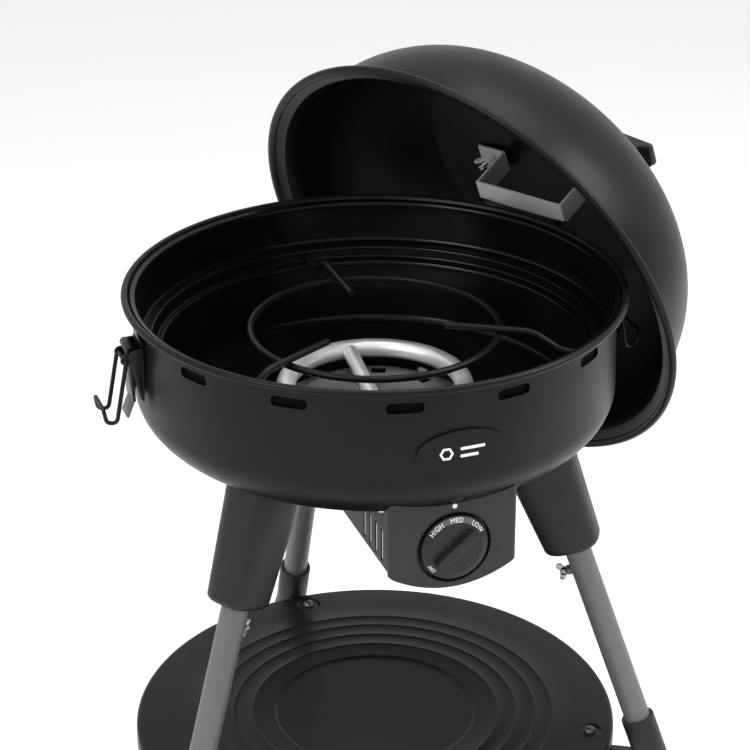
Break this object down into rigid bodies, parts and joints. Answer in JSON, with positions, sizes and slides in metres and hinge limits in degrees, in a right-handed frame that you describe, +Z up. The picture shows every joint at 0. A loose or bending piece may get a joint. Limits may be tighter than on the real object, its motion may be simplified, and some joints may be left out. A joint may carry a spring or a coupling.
{
  "type": "gas kettle grill",
  "caption": "Round black gas kettle grill on three splayed tube legs with a shelf, ring burner, control knob, toggle latches and a domed lid hung behind the bowl",
  "frame": {"origin": "on the floor, under the middle of the bounding box", "axes": "+Z up, the control knob faces -Y, +X to the right of someone facing the knob"},
  "size_m": [0.7268, 0.6574, 0.9963],
  "materials": {
    "satin_enamel": "satin black baked enamel with a faint orange-peel",
    "gloss_enamel": "gloss black porcelain enamel",
    "latch_paint": "semi-gloss black paint on wire and sheet",
    "cast_aluminium": "satin aluminium",
    "steel_sheet": "plain pressed steel, satin",
    "steel_screws": "zinc-plated steel, bright",
    "brass_fittings": "machined brass",
    "grey_tube_paint": "grey stove paint, satin",
    "zinc_bracket": "light grey zinc-coated sheet",
    "panel_paint": "charcoal powder paint, fine grain",
    "black_plastic": "black moulded plastic, satin",
    "white_ceramic": null
  },
  "bodies": {
    "stand": {"bowl_shell": "satin_enamel", "inner_pan": "gloss_enamel", "badge_plate": "gloss_enamel", "burner_ring": "cast_aluminium", "burner_feed_tube": "cast_aluminium", "burner_dish": "steel_sheet", "spark_electrode": "white_ceramic", "control_housing": "panel_paint", "knob_cup": "black_plastic", "valve_body": "brass_fittings", "gas_jet": "brass_fittings", "gas_inlet": "brass_fittings", "leg_socket_left": "black_plastic", "socket_bolt_left": "steel_screws", "leg_upper_left": "grey_tube_paint", "leg_collar_left": "black_plastic", "shelf_peg_left": "steel_screws", "leg_lower_left": "grey_tube_paint", "leg_foot_left": "black_plastic", "leg_socket_right": "black_plastic", "socket_bolt_right": "steel_screws", "leg_upper_right": "grey_tube_paint", "leg_collar_right": "black_plastic", "shelf_peg_right": "steel_screws", "leg_lower_right": "grey_tube_paint", "leg_foot_right": "black_plastic", "leg_socket_back": "black_plastic", "socket_bolt_back": "steel_screws", "leg_upper_back": "grey_tube_paint", "leg_collar_back": "black_plastic", "shelf_peg_back": "steel_screws", "leg_lower_back": "grey_tube_paint", "leg_foot_back": "black_plastic", "latch_base_left": "latch_paint", "latch_base_right": "latch_paint", "lid_holder": "steel_sheet"},
    "shelf": {"shelf": "satin_enamel"},
    "pot_stand": {"pot_ring": "satin_enamel", "pot_arm_left": "satin_enamel", "pot_arm_right": "satin_enamel", "pot_arm_back": "satin_enamel"},
    "lid": {"lid_dome": "satin_enamel", "lid_handle": "black_plastic", "lid_bracket": "zinc_bracket", "lid_bolt_left": "steel_screws", "lid_bolt_right": "steel_screws"},
    "lid_nut_left": {"lid_wing_nut_left": "steel_screws"},
    "lid_nut_right": {"lid_wing_nut_right": "steel_screws"},
    "stem": {"valve_stem": "steel_screws"},
    "knob": {"control_knob": "black_plastic"},
    "latch_lever_left": {"latch_lever_left": "latch_paint"},
    "latch_bail_left": {"latch_bail_left": "latch_paint"},
    "latch_lever_right": {"latch_lever_right": "latch_paint"},
    "latch_bail_right": {"latch_bail_right": "latch_paint"},
    "leg_screw_left": {"leg_wing_screw_left": "steel_screws"},
    "leg_screw_right": {"leg_wing_screw_right": "steel_screws"},
    "leg_screw_back": {"leg_wing_screw_back": "steel_screws"}
  },
  "joints": [
    {"name": "shelf_lift", "type": "slide", "parent": "stand", "child": "shelf", "axis": [0, 0, 1], "range_m": [0, 0.04]},
    {"name": "pot_stand_lift", "type": "slide", "parent": "stand", "child": "pot_stand", "axis": [0, 0, 1], "range_m": [0, 0.1]},
    {"name": "lid_lift", "type": "slide", "parent": "stand", "child": "lid", "axis": [-0.3522, -0.2066, 0.9128], "range_m": [0, 0.05]},
    {"name": "lid_wing_nut_left_turn", "type": "hinge", "parent": "lid", "child": "lid_nut_left", "pos_m": [0.21628, 0.16275, 0.83117], "axis": [0.7873, 0.4619, 0.4083], "continuous": true},
    {"name": "lid_wing_nut_right_turn", "type": "hinge", "parent": "lid", "child": "lid_nut_right", "pos_m": [0.28915, 0.03855, 0.83117], "axis": [0.7873, 0.4619, 0.4083], "continuous": true},
    {"name": "knob_turn", "type": "hinge", "parent": "stand", "child": "stem", "pos_m": [0, -0.29864, 0.6515], "axis": [0, -1, 0], "range_deg": [-130, 48]},
    {"name": "knob_push", "type": "slide", "parent": "stem", "child": "knob", "axis": [0, 1, 0], "range_m": [0, 0.003], "stiffness_N_per_m": 600, "springref_m": -0.002},
    {"name": "latch_lever_left_swing", "type": "hinge", "parent": "stand", "child": "latch_lever_left", "pos_m": [-0.2365, -0.08864, 0.791], "axis": [0, 1, 0], "range_deg": [0, 60]},
    {"name": "latch_bail_left_swing", "type": "hinge", "parent": "latch_lever_left", "child": "latch_bail_left", "pos_m": [-0.2429, -0.08864, 0.7826], "axis": [0, 1, 0], "range_deg": [0, 100]},
    {"name": "latch_lever_right_swing", "type": "hinge", "parent": "stand", "child": "latch_lever_right", "pos_m": [0.2365, -0.08864, 0.791], "axis": [0, -1, 0], "range_deg": [0, 60]},
    {"name": "latch_bail_right_swing", "type": "hinge", "parent": "latch_lever_right", "child": "latch_bail_right", "pos_m": [0.2429, -0.08864, 0.7826], "axis": [0, -1, 0], "range_deg": [0, 100]},
    {"name": "leg_wing_screw_left_turn", "type": "hinge", "parent": "stand", "child": "leg_screw_left", "pos_m": [-0.16804, -0.18566, 0.53619], "axis": [0.8147, 0.4704, -0.3391], "continuous": true},
    {"name": "leg_wing_screw_right_turn", "type": "hinge", "parent": "stand", "child": "leg_screw_right", "pos_m": [0.16804, -0.18566, 0.53619], "axis": [-0.8147, 0.4704, -0.3391], "continuous": true},
    {"name": "leg_wing_screw_back_turn", "type": "hinge", "parent": "stand", "child": "leg_screw_back", "pos_m": [0, 0.10539, 0.53619], "axis": [0, -0.9407, -0.3391], "continuous": true}
  ]
}
